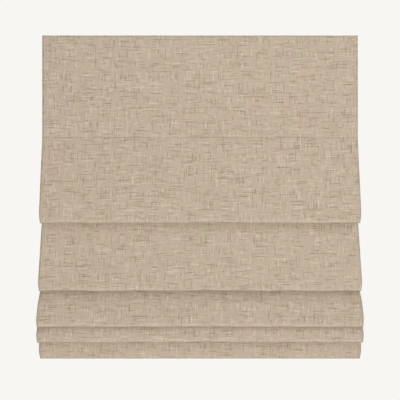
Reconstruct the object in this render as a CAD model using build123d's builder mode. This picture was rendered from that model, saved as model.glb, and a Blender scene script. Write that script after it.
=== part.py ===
"""Cordless roman blind, 914 mm wide and 1626 mm long, hanging part raised with its cloth in four folds.

Sizes are in millimetres. X runs along the headrail, Y towards the window and Z up. The origin is the
middle of the four bracket screw holes, on the plane where the brackets meet the window head.
"""

import os
from math import acos, cos, pi, radians, sin, tan

from build123d import *

os.makedirs("parts", exist_ok=True)

# Fits
seat_gap = 0.3
running_gap = 0.05
overrun = 2.0

# Mounting brackets, pressed from steel strip
bracket_end_margin = 60.0
bracket_width = 34.0
bracket_plate = 1.5
screw_spacing = 28.0
screw_hole_radius = 2.25
hook_reach = 4.0
bracket_bend = 1.8
bracket_margin = 2.0

# Headrail, an aluminium channel with its mouth upwards
rail_depth = 56.0
rail_height = 38.0
rail_wall = 1.5
rail_corner = 2.5
rail_mouth = 40.0
rail_inset = 4.0
cap_plate = 2.0
cap_plug = 10.0
cap_plug_wall = 1.6

# Hook tape on the headrail and loop tape on the cloth
grip_tape_height = 22.0
grip_tape_thickness = 1.2
grip_tape_margin = 3.0

# Cloth: fold places are shares of the drop shown, and fold reaches shares of the fullest fold's
cloth_width = 914.0
cloth_thickness = 0.9
cloth_top_drop = 2.0
shown_drop = 928.0
fold_reach_share = 0.07435
side_hem = 18.0
fold_radius = 5.0
fold_round_share = 0.95
rib_flat = 10.0
rib_turn_share = 0.18
rib_crease_radius = 20.0
knee_radius = 60.0
rib_drop_shares = (0.317, 0.558, 0.725, 0.7845, 0.8136)
fold_drop_shares = (0.5826, 0.7882, 0.8928, 0.9398)
fold_reach_shares = (0.552, 0.701, 1.0, 0.955)
knee_reach_shares = ((), (), (0.14, 0.62), (0.42, 0.83))
knee_drop_shares = ((), (), (0.776, 0.823), (0.862, 0.9106))

# Ribs: fibreglass rods in sewn pockets, with moulded guides for the lift tapes
rod_radius = 2.0
rod_end_margin = 3.0
pocket_wall = 0.8
pocket_flange_height = 8.0
pocket_flange = 0.7
guide_wall = 1.2
guide_height = 3.0
guide_play = 0.6

# Bottom bar, a hollow oval extrusion inside the hem
bar_height = 28.0
bar_thickness = 11.0
bar_wall = 1.2
plug_length = 14.0
plug_flange = 1.5
hem_reach = 34.0
hem_seam_height = 10.0
hem_pinch_height = 17.0
hem_pinch_radius = 8.0
hem_front_radius = 100.0
hem_round_share = 0.98
hem_slack = 1.6

# Lift tapes, wound on reels along the lift shaft
lift_end_margin = 127.0
tape_width = 10.0
tape_thickness = 0.4
roll_radius = 10.1
tape_slot_length = 15.0
tape_slot_width = 4.0
tape_bend_radius = 60.0
anchor_width = 17.0
anchor_height = 15.0
anchor_depth = 9.0
anchor_wall = 1.6
anchor_corner = 1.2

# Lift shaft and what turns with it
shaft_flats = 6.0
journal_radius = 5.0
journal_length = 4.0
reel_hub_radius = 7.0
reel_flange_radius = 12.0
reel_flange = 1.2
reel_side_play = 0.5
cradle_wall = 2.0
cradle_floor = 1.5
cradle_boss_wall = 2.4
cradle_margin = 0.4
cradle_slope = 75
bush_length = 8.0
socket_wall = 1.8

# Spring motor: two geared drums joined by a flat coil spring
gear_module = 1.0
gear_teeth = 21
gear_width = 6.0
gear_backlash = 0.24
gear_pressure_angle = radians(20)
gear_root_share = 1.25
flank_shares = (0.0, 0.35, 0.7, 1.0)
drum_barrel_radius = 6.3
drum_flange_radius = 10.0
drum_flange = 1.2
spring_width = 16.0
spring_strip = 0.5
spring_drive_radius = 8.2
spring_store_radius = 9.4
spring_side_play = 0.5
motor_wall = 1.5
motor_room = 0.8
motor_corner = 2.0

# Places worked out from the sizes above
bracket_spacing = cloth_width - 2 * bracket_end_margin
lift_spacing = cloth_width / 2 - lift_end_margin
motor_x = -lift_spacing / 2
fold_reach = fold_reach_share * shown_drop
rail_top_z = -(bracket_plate + seat_gap)
rail_bottom_z = rail_top_z - rail_height
rail_floor_z = rail_bottom_z + rail_wall
rail_mid_z = rail_top_z - rail_height / 2
rail_length = cloth_width - 2 * (rail_inset + cap_plate)
rail_front_y = -rail_depth / 2
cloth_back_y = rail_front_y - 2 * grip_tape_thickness
cloth_face_y = cloth_back_y - cloth_thickness
cloth_top_z = -cloth_top_drop
inner_width = cloth_width - 2 * (side_hem + seat_gap)
pocket_bore = rod_radius + seat_gap
pocket_radius = pocket_bore + pocket_wall
flange_front_y = cloth_back_y + seat_gap
rod_y = flange_front_y + pocket_flange + pocket_bore
guide_front_y = rod_y + pocket_radius + seat_gap
guide_slot = tape_thickness + 2 * guide_play
tape_y = guide_front_y + guide_wall + guide_slot / 2
shaft_y = tape_y + roll_radius
gear_pitch_radius = gear_module * gear_teeth / 2
gear_tip_radius = gear_pitch_radius + gear_module
gear_root_radius = gear_pitch_radius - gear_root_share * gear_module
shaft_z = rail_floor_z + motor_wall + motor_room + gear_tip_radius
store_y = shaft_y + 2 * gear_pitch_radius
shaft_bore_flats = shaft_flats + 2 * running_gap
bearing_radius = journal_radius + running_gap
lift_places = {"left": -lift_spacing, "centre": 0.0, "right": lift_spacing}
sides = {"left": -1, "right": 1}
hem_back_reach = hem_reach - bar_thickness - 2 * (seat_gap + cloth_thickness)
hem_bottom_z = cloth_top_z - shown_drop
bar_bottom_z = hem_bottom_z + cloth_thickness + seat_gap
bar_mid_z = bar_bottom_z + bar_height / 2
bar_y = cloth_face_y - (hem_reach + hem_back_reach) / 2
bar_length = inner_width - 2 * (plug_flange + seat_gap)
rib_zs = [cloth_top_z - share * shown_drop for share in rib_drop_shares]


def finish(piece, name):
    """Label a finished piece and write it to its own file."""
    piece.part.label = name
    export_step(piece.part, f"parts/{name}.step")


def on_shaft(x, y=shaft_y):
    """A place on the lift shaft's line, or on a line beside it, with its axis along X."""
    return Location((x, y, shaft_z), (0, 90, 0))


def stepped_roller(x_start, y, steps):
    """Coaxial round steps laid end to end along X, each given as its length and radius."""
    x = x_start
    for length, radius in steps:
        with Locations(on_shaft(x + length / 2, y)):
            Cylinder(radius, length)
        x += length


def hex_bore(x_start, length):
    """Cut the keyed bore that slides over the lift shaft."""
    with BuildSketch(Plane((x_start, shaft_y, shaft_z), (0, 1, 0), (1, 0, 0))) as key:
        RegularPolygon(shaft_bore_flats / 2, 6, major_radius=False)
    extrude(key.sketch, amount=length, mode=Mode.SUBTRACT)


def shifted(corners, radii, gap):
    """The same path moved to its left by a gap, with corners on their bisectors and radii to match."""
    runs = [(end - start).normalized() for start, end in zip(corners, corners[1:])]
    lefts = [Vector(-run.Y, run.X) for run in runs]
    bends = list(zip(lefts, lefts[1:]))
    inner = [
        corner + (before + after) * (gap / (1 + before.dot(after)))
        for corner, (before, after) in zip(corners[1:-1], bends)
    ]
    turns = [before.cross(after).Z for before, after in bends]
    moved_radii = [r - gap if turn > 0 else r + gap for r, turn in zip(radii, turns)]
    return [corners[0] + lefts[0] * gap, *inner, corners[-1] + lefts[-1] * gap], moved_radii


def cloth_path():
    """Corners and corner radii of the cloth's face, from the top edge down through the folds to the hem."""
    route = [(0, 0, None), (0, rib_drop_shares[0] * shown_drop, rib_crease_radius)]
    rib_turn_radius = rib_turn_share * rib_flat
    knees = zip(knee_reach_shares, knee_drop_shares)
    folds = zip(fold_reach_shares, fold_drop_shares, knees, rib_drop_shares[1:])
    for reach_share, drop_share, knee_shares, rib_share in folds:
        for knee_reach_share, knee_drop_share in zip(*knee_shares):
            route.append((knee_reach_share * fold_reach, knee_drop_share * shown_drop, knee_radius))
        reach = reach_share * fold_reach
        drop = drop_share * shown_drop
        rib_drop = rib_share * shown_drop
        round_radius = fold_radius * fold_round_share
        route += [(reach - back * fold_radius, drop, round_radius) for back in (0, 2)]
        route += [(0, rib_drop + up * rib_flat / 2, rib_turn_radius) for up in (-1, 1)]
    hem_radius = bar_thickness / 2 + seat_gap + cloth_thickness
    pocket_top = shown_drop - cloth_thickness - bar_height - hem_seam_height
    lean = hem_reach / (pocket_top - route[-1][1])
    pinch_rise = hem_pinch_height - hem_seam_height
    seam_reach = hem_reach - 4 * cloth_thickness - hem_slack
    route += [
        (hem_reach, pocket_top, hem_front_radius),
        (hem_reach, shown_drop, hem_radius * hem_round_share),
        (hem_back_reach, shown_drop, hem_radius * hem_round_share),
        (hem_back_reach, pocket_top + hem_seam_height, hem_pinch_radius),
        (seam_reach - lean * pinch_rise, pocket_top - pinch_rise, hem_pinch_radius),
        (seam_reach - lean * hem_pinch_height, pocket_top - hem_pinch_height, None),
    ]
    corners = [Vector(cloth_face_y - reach, cloth_top_z - drop) for reach, drop, _ in route]
    return corners, [radius for _, _, radius in route[1:-1]]


def cloth_section(thickness):
    """Section of the folded cloth between its face and a parallel path behind it."""
    corners, radii = cloth_path()
    back_corners, back_radii = shifted(corners, radii, thickness)
    with BuildLine() as outline:
        face = FilletPolyline(*corners, radius=radii)
        back = FilletPolyline(*back_corners, radius=back_radii)
        Line(face @ 0, back @ 0)
        Line(face @ 1, back @ 1)
    make_face(outline.edges())


# Headrail with a slot in its floor for each lift tape
with BuildPart() as headrail:
    with BuildSketch(Plane.YZ):
        with Locations((0, rail_mid_z)):
            RectangleRounded(rail_depth, rail_height, rail_corner)
            Rectangle(rail_depth - 2 * rail_wall, rail_height - 2 * rail_wall, mode=Mode.SUBTRACT)
        with Locations((0, rail_top_z)):
            Rectangle(rail_mouth, 2 * (rail_wall + overrun), mode=Mode.SUBTRACT)
    extrude(amount=rail_length / 2, both=True)
    with BuildSketch(Plane.XY.offset(rail_bottom_z)):
        with Locations(*[(x, tape_y) for x in lift_places.values()]):
            SlotOverall(tape_slot_length, tape_slot_width)
    extrude(amount=rail_wall + overrun, both=True, mode=Mode.SUBTRACT)
finish(headrail, "headrail")

# End caps: a plate, a plug inside the channel and a socket for the shaft's bush
for side_name, side in sides.items():
    with BuildPart() as end_cap:
        plug_depth = rail_depth - 2 * (rail_wall + seat_gap)
        plug_height = rail_height - 2 * (rail_wall + seat_gap)
        plug_walls = 2 * cap_plug_wall
        with BuildSketch(Plane.YZ.offset(side * rail_length / 2)):
            with Locations((0, rail_mid_z)):
                RectangleRounded(rail_depth, rail_height, rail_corner)
        extrude(amount=side * cap_plate)
        with BuildSketch(Plane.YZ.offset(side * rail_length / 2)):
            with Locations((0, rail_mid_z)):
                Rectangle(plug_depth, plug_height)
                Rectangle(plug_depth - plug_walls, plug_height - plug_walls, mode=Mode.SUBTRACT)
            with Locations((shaft_y, shaft_z)):
                Circle(bearing_radius + socket_wall)
        extrude(amount=-side * cap_plug)
        with Locations(on_shaft(side * (rail_length / 2 - cap_plug / 2))):
            Cylinder(bearing_radius, cap_plug, mode=Mode.SUBTRACT)
        outer_face = end_cap.faces().sort_by(Axis.X)[-1 if side > 0 else 0]
        chamfer(outer_face.edges(), cap_plate / 4)
    finish(end_cap, f"end_cap_{side_name}")

# Brackets: a top plate on the window head and two hooked tongues under the channel's lips
for side_name, side in sides.items():
    with BuildPart() as bracket:
        tongue_y = rail_mouth / 2 - seat_gap
        hook_z = rail_top_z - rail_wall - seat_gap
        plate_y = rail_depth / 2 - bracket_margin
        with BuildSketch(Plane.YZ.offset(side * bracket_spacing / 2)):
            with Locations((0, -bracket_plate / 2)):
                Rectangle(2 * plate_y, bracket_plate)
            for way in (-1, 1):
                with BuildLine():
                    Polyline(
                        (way * tongue_y, 0),
                        (way * tongue_y, hook_z),
                        (way * (tongue_y + hook_reach), hook_z),
                        (way * (tongue_y + hook_reach - bracket_plate), hook_z - bracket_plate),
                        (way * (tongue_y - bracket_plate), hook_z - bracket_plate),
                        (way * (tongue_y - bracket_plate), 0),
                        close=True,
                    )
                make_face()
        extrude(amount=bracket_width / 2, both=True)
        with BuildSketch(Plane.XY):
            with Locations((side * bracket_spacing / 2, 0)):
                with GridLocations(0, screw_spacing, 1, 2):
                    Circle(screw_hole_radius)
        extrude(amount=-bracket_plate, mode=Mode.SUBTRACT)
        plate_corners = bracket.edges().filter_by(Axis.Z).group_by(SortBy.LENGTH)[0]
        fillet(plate_corners, bracket_bend)
    finish(bracket, f"bracket_{side_name}")

# Hook tape stuck to the headrail and loop tape sewn to the cloth, face to face
grip_tape_length = min(rail_length, inner_width) - 2 * grip_tape_margin
grip_tape_z = cloth_top_z - grip_tape_margin - grip_tape_height / 2
for layer, tape_name in enumerate(("hook_tape", "loop_tape")):
    with BuildPart() as grip_tape:
        with BuildSketch(Plane.XZ.offset(-rail_front_y + layer * grip_tape_thickness)):
            with Locations((0, grip_tape_z)):
                Rectangle(grip_tape_length, grip_tape_height)
        extrude(amount=grip_tape_thickness)
    finish(grip_tape, tape_name)

# Cloth: one folded sheet, doubled along both sides where its hems are turned to the back
with BuildPart() as blind_cloth:
    with BuildSketch(Plane.YZ):
        cloth_section(cloth_thickness)
    extrude(amount=cloth_width / 2, both=True)
    for side in sides.values():
        with BuildSketch(Plane.YZ.offset(side * cloth_width / 2)):
            cloth_section(2 * cloth_thickness)
        extrude(amount=-side * side_hem)
finish(blind_cloth, "blind_cloth")

# Ribs: a rod in its pocket, and one guide behind it for each lift tape
pocket_length = inner_width
rod_length = pocket_length - 2 * rod_end_margin
for number, rib_z in enumerate(rib_zs, start=1):
    with BuildPart() as rib_rod:
        with Locations(Location((0, rod_y, rib_z), (0, 90, 0))):
            Cylinder(rod_radius, rod_length)
    finish(rib_rod, f"rib_rod_{number}")

    with BuildPart() as rib_pocket:
        with BuildSketch(Plane.YZ):
            with Locations((flange_front_y + pocket_flange / 2, rib_z)):
                Rectangle(pocket_flange, pocket_flange_height)
            with Locations((rod_y, rib_z)):
                Circle(pocket_radius)
                Circle(pocket_bore, mode=Mode.SUBTRACT)
            with Locations((flange_front_y - pocket_radius / 2, rib_z)):
                Rectangle(pocket_radius, pocket_flange_height, mode=Mode.SUBTRACT)
        extrude(amount=pocket_length / 2, both=True)
    finish(rib_pocket, f"rib_pocket_{number}")

    with BuildPart() as rib_guides:
        slot_length = tape_width + 2 * guide_play
        with BuildSketch(Plane.XY.offset(rib_z)):
            with Locations(*[(x, tape_y) for x in lift_places.values()]):
                Rectangle(slot_length + 2 * guide_wall, guide_slot + 2 * guide_wall)
                Rectangle(slot_length, guide_slot, mode=Mode.SUBTRACT)
        extrude(amount=guide_height / 2, both=True)
        guide_corners = rib_guides.edges().filter_by(Axis.Z)
        chamfer(guide_corners, guide_slot / 3)
    finish(rib_guides, f"rib_guides_{number}")

# Bottom bar and its end plugs
with BuildPart() as bottom_bar:
    bar_walls = 2 * bar_wall
    with BuildSketch(Plane.YZ):
        with Locations((bar_y, bar_mid_z)):
            SlotOverall(bar_height, bar_thickness, rotation=90)
            SlotOverall(bar_height - bar_walls, bar_thickness - bar_walls, rotation=90, mode=Mode.SUBTRACT)
    extrude(amount=bar_length / 2, both=True)
finish(bottom_bar, "bottom_bar")

for side_name, side in sides.items():
    with BuildPart() as bar_plug:
        with BuildSketch(Plane.YZ.offset(side * bar_length / 2)):
            with Locations((bar_y, bar_mid_z)):
                SlotOverall(bar_height, bar_thickness, rotation=90)
        extrude(amount=side * plug_flange)
        plug_inset = 2 * (bar_wall + running_gap)
        with BuildSketch(Plane.YZ.offset(side * bar_length / 2)):
            with Locations((bar_y, bar_mid_z)):
                SlotOverall(bar_height - plug_inset, bar_thickness - plug_inset, rotation=90)
        extrude(amount=-side * plug_length)
        outer_face = bar_plug.faces().sort_by(Axis.X)[-1 if side > 0 else 0]
        chamfer(outer_face.edges(), plug_flange / 3)
    finish(bar_plug, f"bar_plug_{side_name}")

# Lift tapes, their anchors behind the hem, their reels and the reels' cradles
anchor_front_y = cloth_face_y - hem_back_reach + seat_gap
anchor_tape_y = anchor_front_y + anchor_depth - anchor_wall - seat_gap - tape_thickness / 2
anchor_top_z = bar_mid_z + anchor_height / 2
tape_end_z = anchor_top_z - anchor_height + anchor_wall + seat_gap
tape_lean_z = rib_zs[-1] - guide_height
tape_straight_z = anchor_top_z + anchor_height
reel_gap = tape_width + 2 * reel_side_play
reel_length = reel_gap + 2 * reel_flange
roller_length = reel_length + 2 * journal_length
for place, x in lift_places.items():
    with BuildPart() as lift_tape:
        with BuildSketch(Plane.YZ.offset(x)):
            with Locations((shaft_y, shaft_z)):
                Circle(roll_radius + tape_thickness / 2)
            with BuildLine():
                FilletPolyline(
                    (tape_y, shaft_z),
                    (tape_y, tape_lean_z),
                    (anchor_tape_y, tape_straight_z),
                    (anchor_tape_y, tape_end_z),
                    radius=tape_bend_radius,
                )
            trace(line_width=tape_thickness)
            with Locations((shaft_y, shaft_z)):
                Circle(reel_hub_radius + running_gap, mode=Mode.SUBTRACT)
        extrude(amount=tape_width / 2, both=True)
    finish(lift_tape, f"lift_tape_{place}")

    with BuildPart() as tape_anchor:
        with BuildSketch(Plane.XY.offset(anchor_top_z)):
            with Locations((x, anchor_front_y + anchor_depth / 2)):
                RectangleRounded(anchor_width, anchor_depth, anchor_corner)
        extrude(amount=-anchor_height)
        with BuildSketch(Plane.XY.offset(anchor_top_z)):
            with Locations((x, anchor_tape_y)):
                Rectangle(tape_width + 2 * seat_gap, tape_thickness + 2 * seat_gap)
        extrude(amount=anchor_wall - anchor_height, mode=Mode.SUBTRACT)
        chamfer(tape_anchor.faces().sort_by(Axis.Z)[0].edges(), anchor_corner / 2)
    finish(tape_anchor, f"tape_anchor_{place}")

    with BuildPart() as tape_reel:
        reel_steps = [
            (journal_length, journal_radius),
            (reel_flange, reel_flange_radius),
            (reel_gap, reel_hub_radius),
            (reel_flange, reel_flange_radius),
            (journal_length, journal_radius),
        ]
        stepped_roller(x - roller_length / 2, shaft_y, reel_steps)
        hex_bore(x - roller_length / 2, roller_length)
    finish(tape_reel, f"tape_reel_{place}")

    with BuildPart() as reel_cradle:
        cradle_front_y = rail_front_y + rail_wall + cradle_margin
        cradle_back_y = shaft_y + reel_flange_radius
        floor_length = roller_length + 2 * cradle_margin
        with BuildSketch(Plane.XY.offset(rail_floor_z)):
            with Locations((x, (cradle_front_y + cradle_back_y) / 2)):
                Rectangle(floor_length, cradle_back_y - cradle_front_y)
            with Locations((x, tape_y)):
                SlotOverall(tape_slot_length, tape_slot_width, mode=Mode.SUBTRACT)
        extrude(amount=cradle_floor)
        boss_radius = bearing_radius + cradle_boss_wall
        for way in (-1, 1):
            with BuildSketch(Plane.YZ.offset(x + way * floor_length / 2)):
                with Locations((shaft_y, shaft_z)):
                    Circle(boss_radius)
                with Locations((shaft_y, (shaft_z + rail_floor_z) / 2)):
                    Trapezoid(2 * reel_flange_radius, shaft_z - rail_floor_z, cradle_slope)
                with Locations((shaft_y, shaft_z)):
                    Circle(bearing_radius, mode=Mode.SUBTRACT)
            extrude(amount=-way * cradle_wall)
    finish(reel_cradle, f"reel_cradle_{place}")

# Lift shaft, a hexagonal steel rod that turns in a bush at each end
with BuildPart() as lift_shaft:
    shaft_length = rail_length - 4 * seat_gap
    with BuildSketch(Plane((-shaft_length / 2, shaft_y, shaft_z), (0, 1, 0), (1, 0, 0))):
        RegularPolygon(shaft_flats / 2, 6, major_radius=False)
    extrude(amount=shaft_length)
finish(lift_shaft, "lift_shaft")

for side_name, side in sides.items():
    with BuildPart() as shaft_bush:
        bush_middle_x = side * (rail_length / 2 - seat_gap - bush_length / 2)
        stepped_roller(bush_middle_x - bush_length / 2, shaft_y, [(bush_length, journal_radius)])
        hex_bore(bush_middle_x - bush_length / 2, bush_length)
    finish(shaft_bush, f"shaft_bush_{side_name}")

# Spring motor: the drums turn against each other through their gears and pass the spring between them
spring_gap = spring_width + 2 * spring_side_play
drum_length = gear_width + spring_gap + drum_flange
drum_start_x = motor_x - drum_length / 2
drum_steps = [
    (journal_length, journal_radius),
    (gear_width, gear_root_radius),
    (spring_gap, drum_barrel_radius),
    (drum_flange, drum_flange_radius),
    (journal_length, journal_radius),
]


def involute(angle):
    """Involute function: how far a flank has leaned over where its pressure angle has this value."""
    return tan(angle) - angle


def gear_outline():
    """Outline of a spur gear with involute flanks, one tooth pointing along +Y."""
    base_radius = gear_pitch_radius * cos(gear_pressure_angle)
    half_pitch = pi / (2 * gear_teeth) - gear_backlash / (2 * gear_pitch_radius)
    half_base = half_pitch + involute(gear_pressure_angle)
    flank = [(gear_root_radius, half_base)]
    for share in flank_shares:
        radius = base_radius + share * (gear_tip_radius - base_radius)
        flank.append((radius, half_base - involute(acos(base_radius / radius))))
    points = []
    for tooth in range(gear_teeth):
        middle = 2 * pi * tooth / gear_teeth
        points += [(r * cos(middle - lean), r * sin(middle - lean)) for r, lean in flank]
        points += [(r * cos(middle + lean), r * sin(middle + lean)) for r, lean in reversed(flank)]
    return points


for drum_name, drum_y in {"drive_drum": shaft_y, "storage_drum": store_y}.items():
    with BuildPart() as drum:
        stepped_roller(drum_start_x - journal_length, drum_y, drum_steps)
        with BuildSketch(Plane((drum_start_x, drum_y, shaft_z), (0, 1, 0), (1, 0, 0))):
            with BuildLine():
                Polyline(*gear_outline(), close=True)
            make_face()
        extrude(amount=gear_width)
        if drum_name == "drive_drum":
            hex_bore(drum_start_x - journal_length, drum_length + 2 * journal_length)
    finish(drum, drum_name)

with BuildPart() as motor_spring:
    spring_middle_x = drum_start_x + gear_width + spring_gap / 2
    lean = acos((spring_drive_radius + spring_store_radius) / (store_y - shaft_y))
    across = Vector(cos(lean), sin(lean))
    drive_axis = Vector(shaft_y, shaft_z)
    store_axis = Vector(store_y, shaft_z)
    leaves = drive_axis + across * spring_drive_radius
    arrives = store_axis - across * spring_store_radius
    with BuildSketch(Plane.YZ.offset(spring_middle_x)):
        with Locations(drive_axis):
            Circle(spring_drive_radius + spring_strip / 2)
        with Locations(store_axis):
            Circle(spring_store_radius + spring_strip / 2)
        with BuildLine():
            Polyline(
                leaves + across * (spring_strip / 2),
                arrives + across * (spring_strip / 2),
                arrives - across * (spring_strip / 2),
                leaves - across * (spring_strip / 2),
                close=True,
            )
        make_face()
        with Locations(drive_axis, store_axis):
            Circle(drum_barrel_radius + seat_gap, mode=Mode.SUBTRACT)
    extrude(amount=spring_width / 2, both=True)
finish(motor_spring, "motor_spring")

# Motor case, parted along the drums' axes so that each half holds half of every bearing
case_front_y = shaft_y - gear_tip_radius - motor_room - motor_wall
case_back_y = store_y + gear_tip_radius + motor_room + motor_wall
case_top_z = shaft_z + gear_tip_radius + motor_room + motor_wall
case_length = drum_length + 2 * (motor_room + motor_wall)
case_depth = case_back_y - case_front_y
case_height = case_top_z - rail_floor_z
case_middle = ((case_front_y + case_back_y) / 2, (case_top_z + rail_floor_z) / 2)
for case_name, half in {"motor_housing": Keep.BOTTOM, "motor_cover": Keep.TOP}.items():
    with BuildPart() as motor_case:
        with BuildSketch(Plane.YZ.offset(motor_x)):
            with Locations(case_middle):
                RectangleRounded(case_depth, case_height, motor_corner)
        extrude(amount=case_length / 2, both=True)
        with Locations((motor_x, *case_middle)):
            Box(
                case_length - 2 * motor_wall,
                case_depth - 2 * motor_wall,
                case_height - 2 * motor_wall,
                mode=Mode.SUBTRACT,
            )
        with Locations(on_shaft(motor_x), on_shaft(motor_x, store_y)):
            Cylinder(bearing_radius, case_length + overrun, mode=Mode.SUBTRACT)
        split(bisect_by=Plane.XY.offset(shaft_z), keep=half)
    finish(motor_case, case_name)
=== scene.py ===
"""Looks of a cordless roman blind in beige slub linen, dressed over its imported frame.

Lengths below are in millimetres, as the maker would write them, and become metres when a mesh is made.
X runs along the headrail, Y towards the window and Z up, from the middle of the bracket screws.
"""

import bpy
import numpy as np
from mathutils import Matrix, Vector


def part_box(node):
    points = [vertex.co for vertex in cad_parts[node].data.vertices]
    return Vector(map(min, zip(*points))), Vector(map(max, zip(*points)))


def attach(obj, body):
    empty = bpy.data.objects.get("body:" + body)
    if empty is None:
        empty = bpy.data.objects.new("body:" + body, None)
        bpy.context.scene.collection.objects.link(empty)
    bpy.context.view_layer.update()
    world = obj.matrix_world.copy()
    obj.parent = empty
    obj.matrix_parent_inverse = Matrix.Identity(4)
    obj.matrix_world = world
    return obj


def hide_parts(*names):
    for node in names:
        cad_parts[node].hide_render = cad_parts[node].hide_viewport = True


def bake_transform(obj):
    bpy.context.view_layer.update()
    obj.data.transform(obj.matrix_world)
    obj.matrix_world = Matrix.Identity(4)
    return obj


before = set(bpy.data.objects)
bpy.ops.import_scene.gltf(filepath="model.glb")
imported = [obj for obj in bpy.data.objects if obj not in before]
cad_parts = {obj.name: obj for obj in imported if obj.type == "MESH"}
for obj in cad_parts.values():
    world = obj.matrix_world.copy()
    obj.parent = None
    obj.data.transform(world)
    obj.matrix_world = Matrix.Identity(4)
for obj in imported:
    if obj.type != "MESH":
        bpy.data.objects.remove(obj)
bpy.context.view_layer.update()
MM = 0.001

# Cloth, as it was cut and as it hangs
CLOTH_WIDTH = 914.0
CLOTH_THICKNESS = 0.9
CLOTH_FACE_Y = -31.3
CLOTH_TOP_Z = -2.0
SHOWN_DROP = 928.0
SIDES = {"left": -1, "right": 1}
SIDE_HEM = 18.0
TURNING_GAP = 0.05
TURNING_INSET = 0.4
TURNING_THICKNESS = 0.8
FOLD_REACH = 69.0
FOLD_RADIUS = 5.0
FOLD_ROUND_SHARE = 0.95
RIB_FLAT = 10.0
RIB_TURN_RADIUS = 1.8
RIB_CREASE_RADIUS = 20.0
KNEE_RADIUS = 60.0
RIB_DROP_SHARES = (0.317, 0.558, 0.725, 0.7845, 0.8136)
FOLD_DROP_SHARES = (0.5826, 0.7882, 0.8928, 0.9398)
FOLD_REACH_SHARES = (0.552, 0.701, 1.0, 0.955)
KNEE_REACH_SHARES = ((), (), (0.14, 0.62), (0.42, 0.83))
KNEE_DROP_SHARES = ((), (), (0.776, 0.823), (0.862, 0.9106))

# Grid of the cloth: rows lie closer where it turns, and closest about the first rib's stitched line
CLOTH_COLUMNS = 139
CLOTH_ROWS = 312
TURNING_COLUMNS = 5
ARC_POINTS = 24
RADIAN_COUNTS_AS = 7.0
CREASE_SPAN = (-14.0, 8.0)
CREASE_ROWS = 30

# Waves of the soft cloth: height, length along X, phase, and the length along Z over which each drifts
OUT_WAVES = ((0.9, 65.0, 0.7, np.inf), (0.6, 27.0, 2.1, 90.0), (0.35, 10.7, 0.0, 45.0))
SAG_WAVES = ((0.6, 83.0, 1.3, np.inf), (0.45, 33.0, 0.4, np.inf), (0.25, 13.0, 2.2, np.inf))
HANG_WAVES = ((0.4, 90.0, 0.6, 70.0),)
LIP_WAVES = ((0.4, 29.0, 1.1, np.inf),)
SEAM_WAVES = ((0.8, 41.0, 0.9, np.inf), (0.4, 14.0, 2.0, np.inf))
# Waves of the painted shade along the stitched line, in the same columns
STITCH_SHADE_WAVES = ((0.25, 37.0, 0.3, np.inf),)

# How far the soft cloth strays, and the spans of reach or height over which it does so
FREE_REACH = (12.0, 30.0)
FACE_REACH = (3.0, 1.0)
SLACK_RUN = 40.0
FOLD_SAG = 1.1
END_DROOP = 1.1
END_DROOP_LENGTH = 26.0
EDGE_DRAW_IN = 3.6
EDGE_DRAW_LENGTH = 14.0
EDGE_SPREAD = 14.0
HANG_DEPTH = 0.4
HANG_TOP_ZS = (-45.0, -120.0)
HANG_BOTTOM_ZS = (-285.0, -200.0)
LIP_HEIGHT = 1.5
LIP_FADE = 8.0
LIP_STEP = 1.3
SEAM_DROP = 1.6
HEM_RIDGE = 0.28
HEM_RIDGE_STEP = 1.5

# Painted highlight on the fold edges and on the lip, and painted shade along the stitched line, which its
# thread also darkens
EDGE_HIGHLIGHT_BACK = 3.0
EDGE_HIGHLIGHT_SPREAD = 4.0
LIP_HIGHLIGHT = 0.9
LIP_HIGHLIGHT_HEIGHT = 4.5
LIP_HIGHLIGHT_SPREAD = 2.8
STITCH_SHADE_SPREAD = 1.9
STITCH_SHADE_LEVEL = 0.75

# Hem pocket round the bottom bar
BAR_HEIGHT = 28.0
BAR_THICKNESS = 11.0
SEAT_GAP = 0.3
HEM_REACH = 34.0
HEM_SEAM_HEIGHT = 10.0
HEM_PINCH_HEIGHT = 17.0
HEM_PINCH_RADIUS = 8.0
HEM_FRONT_RADIUS = 100.0
HEM_ROUND_SHARE = 0.98
HEM_SLACK = 1.6

# Rib pockets, lift tapes and their reels
INNER_WIDTH = 877.4
ROD_Y = -27.1
POCKET_BORE = 2.3
POCKET_RADIUS = 3.1
FLANGE_FRONT_Y = -30.1
FLANGE_HEIGHT = 8.0
FLANGE_THICKNESS = 0.7
LIFT_XS = {"left": -330.0, "centre": 0.0, "right": 330.0}
TAPE_Y = -21.7
TAPE_LEAN_Z = -760.02
TAPE_STRAIGHT_Z = -892.3
TAPE_ANCHOR_Y = -44.7
TAPE_BEND_RADIUS = 60.0
TAPE_WIDTH = 10.0
TAPE_THICKNESS = 0.4
SHAFT_Y = -11.6
SHAFT_Z = -24.5
HUB_RADIUS = 7.0
ROLL_RADIUS = 10.1

# Stitches of the rib pockets and of the turned sides
STITCH_PITCH = 7.0
STITCH_LENGTH = 4.6
STITCH_WIDTH = 0.7
STITCH_INSET = 0.7
STITCH_LIFT = 0.05
SIDE_STITCH_PITCH = 12.0
SIDE_STITCH_WIDTH = 1.1
SIDE_STITCH_MARGIN = 3.0

# Floor, well below the fully lowered hem
FLOOR_Z = -2200.0
FLOOR_RINGS = (1.0, 800.0, 1600.0, 1750.0)
FLOOR_SIDES = 96
FLOOR_FADE = (1300.0, 1740.0)
FLOOR_ALPHA = 0.4

# Lamps, in metres and watts
LAMPS = {
    "front_lamp": {"place": (0.3, -5.0, -0.9), "aim": (0.0, -0.03, -0.45), "width": 1.6, "power": 143.0},
    "key_lamp": {"place": (0.6, -2.0, 0.9), "aim": (0.0, -0.03, -0.45), "width": 2.0, "power": 15.5},
    "low_lamp": {"place": (-0.2, -2.2, -2.1), "aim": (0.0, -0.03, -0.5), "width": 1.2, "power": 7.5},
    "rear_lamp": {"place": (0.6, 2.6, 1.0), "aim": (0.0, 0.0, -0.4), "width": 1.8, "power": 70.0},
}
AMBIENT_STRENGTH = 0.16

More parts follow.
